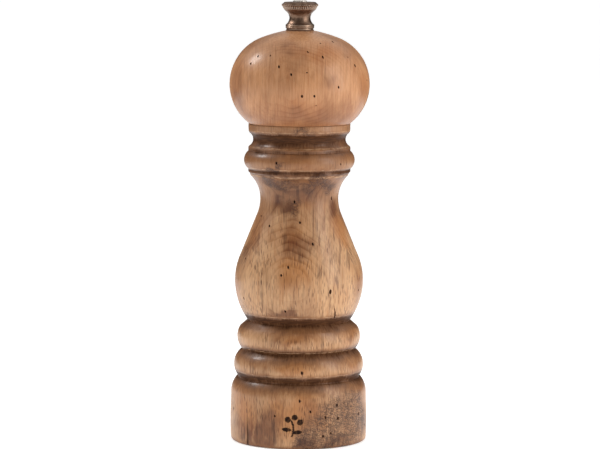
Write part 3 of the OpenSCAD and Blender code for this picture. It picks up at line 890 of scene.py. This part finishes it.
def make_knob():
    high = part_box("knob")[1]
    rim = high.x / MM
    tall = high.z / MM - KNOB_BOTTOM
    outline = [
        (BORE_ROOT, 0.0), (5.3, 0.0), (5.5, 0.2), (5.5, 0.55), (5.78, 0.8), (5.85, 1.1), (5.72, 1.32),
        (5.85, 1.55), (5.83, 1.9), (5.65, 2.2), (5.3, 2.45), (4.9, 2.95), (4.55, 3.65), (4.33, 4.4),
        (4.3, 5.1), (4.45, 5.8), (4.75, 6.5), (5.2, 7.05), (5.8, 7.6), (6.4, 8.2), (6.8, 8.8),
        (7.05, 9.35), (rim - 0.12, 9.75), (rim, 9.92), (rim, 10.1), (rim - 0.12, 10.26), (6.45, 11.1),
        (6.2, 11.26), (5.95, 11.26), (5.7, 11.1), (3.2, 11.1), (2.95, 11.16), (2.85, 11.35),
        (2.8, tall - 0.12), (2.66, tall), (1.8, tall), (1.5, tall - 0.12), (AXIS, tall - 0.16),
    ]
    points, creases = fair(outline, 0.17, corner=24)
    points = [Vector((p.x, KNOB_BOTTOM + min(p.y, tall))) for p in points]
    flutes, flute_depth = 56, 0.42
    notches, notch_depth = 24, 0.16

    def shape(angle, r, z):
        up = z - KNOB_BOTTOM
        if r < 2.6:
            return r, z
        if r < 3.0 and up > BOSS_FROM:
            return r - notch_depth * max(0.0, -math.cos(notches * angle)), z
        rises = max(0.0, min(1.0, (up - FLUTES[0]) / 0.5))
        fades = max(0.0, min(1.0, (FLUTES[1] - up) / 0.3))
        depth = flute_depth * min(rises, fades)
        return r - depth * max(0.0, -math.cos(flutes * angle)) ** 0.7, z

    obj = turn("finger_knob", points, 480, shape, creases, hollows(points, 1.3))
    shade_flutes(obj, points, shape)
    join(obj, threaded_bore(BORE_ROOT, BORE_CREST, KNOB_BOTTOM, KNOB_BOTTOM + BORE_DEEP))
    obj.data.materials.append(knob_bronze)
    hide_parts("knob")
    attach(obj, "knob")


def shade_flutes(obj, points, shape):
    """Adds to a turned mesh's hollow attribute how deep its shape function has cut, four times over."""
    values = obj.data.attributes["hollow"].data
    segments = len(values) // len(points)
    for j, p in enumerate(points):
        for k in range(segments):
            cut = p.x - shape(2 * math.pi * k / segments, p.x, p.y)[0]
            values[j * segments + k].value += 4 * cut


def threaded_bore(root, crest, low, high):
    """The helical thread inside the knob, between two radii and two heights, facing inwards."""
    rows = int((high - low) / (PITCH / 8))
    points = [Vector((root, low + (high - low) * i / rows)) for i in range(rows + 1)]

    def shape(angle, r, z):
        return crest + (root - crest) * (1 - thread_ridge(angle, z)), z

    return turn("bore", points[::-1], 48, shape)


def join(obj, other):
    """Adds other's mesh to obj's."""
    bm = bmesh.new()
    bm.from_mesh(obj.data)
    bm.from_mesh(other.data)
    bm.to_mesh(obj.data)
    bm.free()
    bpy.data.objects.remove(other)


ROD_HALF = 2.5
ROD_CORNER = 3.3  # the radius that its corners are worn to
THREAD_FROM = 165.5
THREAD_ROOT = 2.05
THREAD_DEPTH = 0.43
CLIP_NECKS = ((27.4, 28.3), (30.85, 31.8))
NECK_RADIUS = 2.85


def make_shaft():
    """A square rod with worn corners, two round necks that the clips sit on and a thread on its top
    end."""
    low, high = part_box("shaft")
    bottom, top = low.z / MM, high.z / MM
    heights = [bottom, bottom + 0.3]
    for start, end in CLIP_NECKS:
        heights += [start, start + 0.01, end - 0.01, end]
    heights += [bottom + (THREAD_FROM - bottom) * i / 60 for i in range(6, 60)]
    heights = sorted(heights) + [THREAD_FROM - 0.4, THREAD_FROM]
    thread_rows = int((top - THREAD_FROM - 0.5) / PITCH * 10)
    heights += [THREAD_FROM + PITCH * i / 10 for i in range(1, thread_rows)]
    rows = [(AXIS, bottom)] + [(ROD_HALF, z) for z in heights]
    rows += [(1.7, top - 0.12), (1.5, top), (AXIS, top)]

    def shape(angle, r, z):
        if r < ROD_HALF:
            return r, z
        if z > THREAD_FROM:
            run_out = min(1.0, (top - z) / 0.8)
            return THREAD_ROOT + THREAD_DEPTH * (1 - thread_ridge(angle, z)) * run_out, z
        if any(start < z < end for start, end in CLIP_NECKS):
            return NECK_RADIUS, z
        corner = ROD_CORNER if bottom + 0.2 < z < THREAD_FROM - 0.2 else ROD_HALF
        flat = ROD_HALF / max(abs(math.cos(angle)), abs(math.sin(angle)))
        return min(flat, corner), z

    obj = turn("shaft_rod", rows, 96, shape)
    obj.data.set_sharp_from_angle(angle=math.radians(32))
    obj.data.materials.append(zinc)
    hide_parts("shaft")
    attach(obj, "spindle")


COIL_TURNS = 5
WIRE = 0.45  # the wire's half thickness


def coil_point(turns, bottom, top, middle):
    """A point on the middle of the spring's wire, its two end turns closed."""
    closed = 1.1 * WIRE
    if turns < 1:
        z = bottom + closed * turns
    elif turns > COIL_TURNS - 1:
        z = top - closed * (COIL_TURNS - turns)
    else:
        z = bottom + closed + (top - bottom - 2 * closed) * (turns - 1) / (COIL_TURNS - 2)
    angle = 2 * math.pi * turns
    return Vector((middle * math.cos(angle), middle * math.sin(angle), z))


def make_spring():
    """The coil over the turning burr."""
    low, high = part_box("burr_spring")
    bottom, top = low.z / MM + WIRE, high.z / MM - WIRE
    middle = high.x / MM - WIRE
    steps = 44 * COIL_TURNS
    sides = 12
    vertices, faces = [], []
    for i in range(steps + 1):
        centre = coil_point(i / steps * COIL_TURNS, bottom, top, middle)
        outward = Vector((centre.x, centre.y, 0)).normalized()
        for k in range(sides):
            b = 2 * math.pi * k / sides
            offset = outward * math.cos(b) + Vector((0, 0, math.sin(b)))
            vertices.append((centre + offset * WIRE) * MM)
    for i in range(steps):
        for k in range(sides):
            n = (k + 1) % sides
            faces.append((i * sides + k, (i + 1) * sides + k, (i + 1) * sides + n, i * sides + n))
    faces.append(tuple(range(sides)))
    faces.append(tuple(steps * sides + k for k in reversed(range(sides))))
    mesh = bpy.data.meshes.new("coil_spring")
    mesh.from_pydata(vertices, [], faces)
    mesh.polygons.foreach_set("use_smooth", [True] * len(mesh.polygons))
    obj = put("coil_spring", mesh)
    face_outwards(obj)
    mesh.materials.append(spring_wire)
    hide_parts("burr_spring")
    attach(obj, "spindle")
    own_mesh(obj)


# ---------- surroundings, in metres ----------

FRONT_LIGHT = 0.28  # strength of the surroundings behind the camera
BACK_LIGHT = 0.90  # and behind the mill
LEFT_SHARE = 0.30  # of that, what comes from the left


def flat_piece(name, corners, material):
    """A staged rectangle."""
    mesh = bpy.data.meshes.new(name)
    mesh.from_pydata(corners, [], [(0, 1, 2, 3)])
    mesh.materials.append(material)
    obj = put(name, mesh)
    return obj


def make_floor():
    s = Shade("lit_table", Emission_Color=(1, 1, 1, 1), Emission_Strength=0.53)
    mottle = s.noise(s.place(), 0.01, 3.0)
    grain = s.noise(s.place(), 0.6, 3.0)
    paper = s.finish(s.mix(mottle, (0.90, 0.90, 0.90), (0.95, 0.95, 0.95)), 0.85, grain, 0.02, 0.1)
    corners = [(-12.0, -6.0, 0.0), (12.0, -6.0, 0.0), (12.0, 30.0, 0.0), (-12.0, 30.0, 0.0)]
    flat_piece("floor", corners, paper)


def make_surroundings():
    """Light from all round: strongest behind the mill, and weaker from the left."""
    world = bpy.data.worlds.new("studio")
    bpy.context.scene.world = world
    world.use_nodes = True
    nodes, links = world.node_tree.nodes, world.node_tree.links
    nodes["Background"].inputs["Color"].default_value = (1, 1, 1, 1)
    direction = nodes.new("ShaderNodeSeparateXYZ")
    links.new(nodes.new("ShaderNodeTexCoord").outputs["Generated"], direction.inputs[0])

    def ramp(axis, low, high, start, end):
        node = nodes.new("ShaderNodeMapRange")
        links.new(direction.outputs[axis], node.inputs["Value"])
        for socket, value in zip(node.inputs[1:5], (low, high, start, end)):
            socket.default_value = value
        return node.outputs[0]

    both = nodes.new("ShaderNodeMath")
    both.operation = "MULTIPLY"
    links.new(ramp("Y", -0.9, 0.25, FRONT_LIGHT, BACK_LIGHT), both.inputs[0])
    links.new(ramp("X", -1.0, 0.6, LEFT_SHARE, 1.0), both.inputs[1])
    links.new(both.outputs[0], nodes["Background"].inputs["Strength"])


def dark_card(name, place, width, height):
    """A black card, seen only in reflections, that draws a dark line down the edges of the mill."""
    s = Shade(name + "_cloth", Specular_IOR_Level=0.1)
    weave = s.noise(s.place(), 0.5, 3.0)
    cloth = s.finish(s.mix(weave, (0.012, 0.012, 0.012), (0.03, 0.03, 0.03)), 0.9, weave, 0.1, 0.1)
    half = width / 2
    obj = flat_piece(name, [(-half, 0, 0), (half, 0, 0), (half, 0, height), (-half, 0, height)], cloth)
    obj.location = place
    obj.rotation_euler = (0, 0, math.atan2(-place[0], place[1]))
    obj.visible_camera = False
    obj.visible_shadow = False
    obj.visible_diffuse = False


def soft_box(name, place, size, power):
    """A rectangular light that faces the middle of the mill."""
    light = bpy.data.lights.new(name, "AREA")
    light.shape = "RECTANGLE"
    light.size, light.size_y = size
    light.energy = power
    obj = put(name, light)
    obj.location = place
    aim = Vector((0, 0, 0.09)) - Vector(place)
    obj.rotation_euler = aim.to_track_quat("-Z", "Y").to_euler()


def make_studio():
    make_floor()
    make_surroundings()
    soft_box("key", (-0.77, 0.24, 0.78), (0.26, 0.26), 4.6)
    dark_card("card_left", (-0.386, 0.46, 0.0), 0.8, 0.5)
    dark_card("card_right", (0.386, 0.46, 0.0), 0.8, 0.5)
    soft_box("right_strip", (0.72, -0.36, 0.30), (0.36, 0.9), 3.5)
    soft_box("left_strip", (-0.62, -0.60, 0.30), (0.26, 0.9), 0.3)


def make_camera():
    camera = bpy.data.cameras.new("camera")
    camera.sensor_width = 36.0
    camera.lens = 177.0
    camera.clip_start = 0.01
    camera.clip_end = 50
    obj = put("camera", camera)
    beside = 0.00035
    obj.location = (beside, -1.2, 0.218)
    aim = Vector((beside, 0, 0.0885)) - obj.location
    lean = Matrix.Rotation(math.radians(0.22), 3, "Z")
    obj.rotation_euler = (aim.to_track_quat("-Z", "Y").to_matrix() @ lean).to_euler()
    bpy.context.scene.camera = obj


# ---------- what the wood and the CAD nodes are finished in ----------

# Places as (angle, r, z, width, height, strength)
COLUMN_STAINS = (
    (-3, 21.0, 82.8, 14, 10, 1.0), (-10, 18.5, 91.0, 6, 12, 0.7), (-24, 16.5, 97.0, 8, 7, 1.0),
    (25, 20.0, 107.4, 14, 5.0, 1.0), (-35, 19.5, 107.0, 13, 5.0, 1.0), (60, 17.0, 96.0, 8, 8, 1.0),
    (-28, 28.4, 6.0, 8, 17, 1.5), (-44, 28.4, 3.0, 6, 13, 1.5), (4, 28.4, 0.0, 12, 6, 1.0),
    (75, 26.0, 8.0, 12, 10, 0.8), (-72, 24.0, 80.0, 8, 14, 0.7), (180, 21.0, 80.0, 16, 14, 1.0),
    (150, 28.4, 9.0, 15, 10, 0.9), (230, 25.0, 60.0, 12, 11, 0.8), (8, 20.8, 128.0, 8, 4, 0.4),
    (-20, 25.0, 43.5, 10, 4, 0.5), (-12, 25.5, 53.6, 18, 5.0, 1.2), (-54, 22.0, 81.0, 8, 10, 0.7),
    (30, 28.4, 1.5, 16, 5, 0.9), (-20, 28.4, 21.5, 22, 3.5, 0.3), (0, 16.4, 103.0, 20, 7, 0.8),
    (-60, 28.4, 6.0, 12, 12, 0.8),
)
# Warm tone, with painted shade at the left and right edges, near 60 to 75 degrees either side
COLUMN_AMBER_AND_SHADE = (
    (62, 20.0, 88.0, 10, 18, 1.0), (-62, 20.0, 86.0, 9, 18, 1.0), (-10, 21.0, 86.0, 14, 14, 0.9),
    (70, 25.0, 66.0, 10, 14, 0.8), (-75, 25.0, 62.0, 9, 14, 0.7), (60, 25.0, 45.0, 10, 6, 0.9),
    (60, 26.0, 33.0, 10, 6, 0.9), (-65, 26.0, 20.0, 9, 16, 0.8), (72, 27.5, 20.0, 10, 16, 0.7),
    (0, 22.5, 114.0, 18, 7, 0.6), (180, 25.0, 60.0, 22, 34, 0.7), (0, 16.0, 100.0, 16, 8, 0.7),
    (-6, 24.0, 72.0, 15, 15, 1.0), (-4, 25.5, 45.0, 16, 5, 1.0), (-2, 26.5, 32.0, 16, 5, 1.0),
    (-6, 28.4, 14.0, 22, 14, 1.3), (-50, 28.4, 12.0, 14, 16, 1.2),
)
COLUMN_SCARS = (
    (44, 28.4, 10.0, 24, 17, 1.0), (14, 28.4, 3.0, 13, 9, 0.9), (200, 28.4, 10.0, 20, 12, 1.0),
    (-30, 19.5, 106.5, 15, 5, 0.7), (25, 19.5, 106.5, 15, 5, 0.7), (4, 20.6, 128.6, 14, 3, 0.4),
    (-25, 23.0, 113.6, 9, 3.2, 0.7), (-8, 16.4, 98.0, 8, 7, 0.5),
)
# Edges worn through the glaze, painted pale also as highlights on the bead tops and ledges
COLUMN_WORN_AND_HIGHLIT = (
    (120.9, 0.4), (109.3, 0.6), (127.4, 0.35), (112.4, 0.3), (52.9, 0.2), (38.7, 0.2), (29.2, 0.2),
)
# (2, 26.0, 135.0) is a stain and also painted shade on the front of the bulb's underside
HEAD_STAINS = (
    (25, 28.4, 149.4, 10, 8, 0.5), (2, 26.0, 135.0, 24, 7, 0.5), (-14, 22.0, 162.0, 15, 4, 0.5),
    (-62, 27.0, 141.0, 8, 11, 0.5), (66, 28.0, 143.0, 9, 10, 0.4), (0, 28.0, 151.0, 10, 10, 0.3),
    (170, 28.0, 150.0, 16, 11, 0.9), (250, 27.0, 140.0, 12, 9, 0.8), (120, 25.0, 160.0, 14, 7, 0.7),
)
# Warm tone, with painted shade at the left and right edges
HEAD_AMBER_AND_SHADE = (
    (-66, 27.5, 148.0, 9, 14, 0.5), (68, 27.5, 146.0, 9, 14, 0.6), (20, 22.0, 160.0, 20, 7, 0.8),
    (0, 27.0, 138.0, 24, 10, 0.6), (180, 27.0, 146.0, 24, 14, 0.8),
)

column_wood = wood(
    "beech_column",
    ticks=1.0,
    rings=0.18,
    dusk=(80.0, 106.0),
    stains=COLUMN_STAINS,
    amber_and_shade=COLUMN_AMBER_AND_SHADE,
    scars=COLUMN_SCARS,
    worn_and_highlit=COLUMN_WORN_AND_HIGHLIT,
    brand=True,
)
head_wood = wood(
    "beech_head",
    ticks=0.35,
    rings=0.06,
    # Painted shade: the bulb darkens towards its underside
    dusk=(144.0, 129.0),
    stains=HEAD_STAINS,
    amber_and_shade=HEAD_AMBER_AND_SHADE,
    offset=40.0,
    tint=(0.97, 0.84, 0.77),
)
hole_dark = dark_hole("worm_hole")
knob_bronze = bronze("antique_bronze_metal")
zinc = metal("zinc_plate", (0.42, 0.42, 0.43), (0.66, 0.66, 0.66), 0.32)
burr_steel = metal("burr_steel", (0.10, 0.10, 0.105), (0.24, 0.24, 0.25), 0.42, (2.0, 2.0, 2.0))
spring_wire = metal("spring_wire", (0.30, 0.30, 0.31), (0.55, 0.55, 0.56), 0.3, (1.0, 1.0, 3.0))
turned_brass = metal("turned_brass", (0.52, 0.35, 0.12), (0.80, 0.60, 0.27), 0.3, (0.2, 0.2, 6.0))
black_nylon = plastic("black_moulding", (0.012, 0.012, 0.013), (0.028, 0.028, 0.03), 0.42)
white_nylon = plastic("white_moulding", (0.62, 0.60, 0.53), (0.74, 0.72, 0.66), 0.4)
washer_leather = leather("washer_leather")

CAD_FINISHES = {
    zinc: (
        "housing_screws", "bridge", "bridge_screws", "click_spring_rivet", "drive_plate",
        "drive_plate_screws",
    ),
    burr_steel: ("fixed_burr", "turning_burr", "thrust_carrier"),
    spring_wire: ("click_spring", "shaft_circlips"),
    turned_brass: ("pivot_washer",),
    black_nylon: ("mechanism_housing", "selector_ring"),
    white_nylon: ("shaft_bush",),
    washer_leather: ("knob_washer",),
}


def dress(node, material):
    """A CAD node keeps its shape and takes a material."""
    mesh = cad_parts[node].data
    mesh.materials.clear()
    mesh.materials.append(material)


for finish, nodes in CAD_FINISHES.items():
    for node in nodes:
        dress(node, finish)

make_camera()
make_studio()
make_column()
make_head()
make_knob()
make_shaft()
make_spring()

bpy.context.scene.view_settings.view_transform = "Standard"
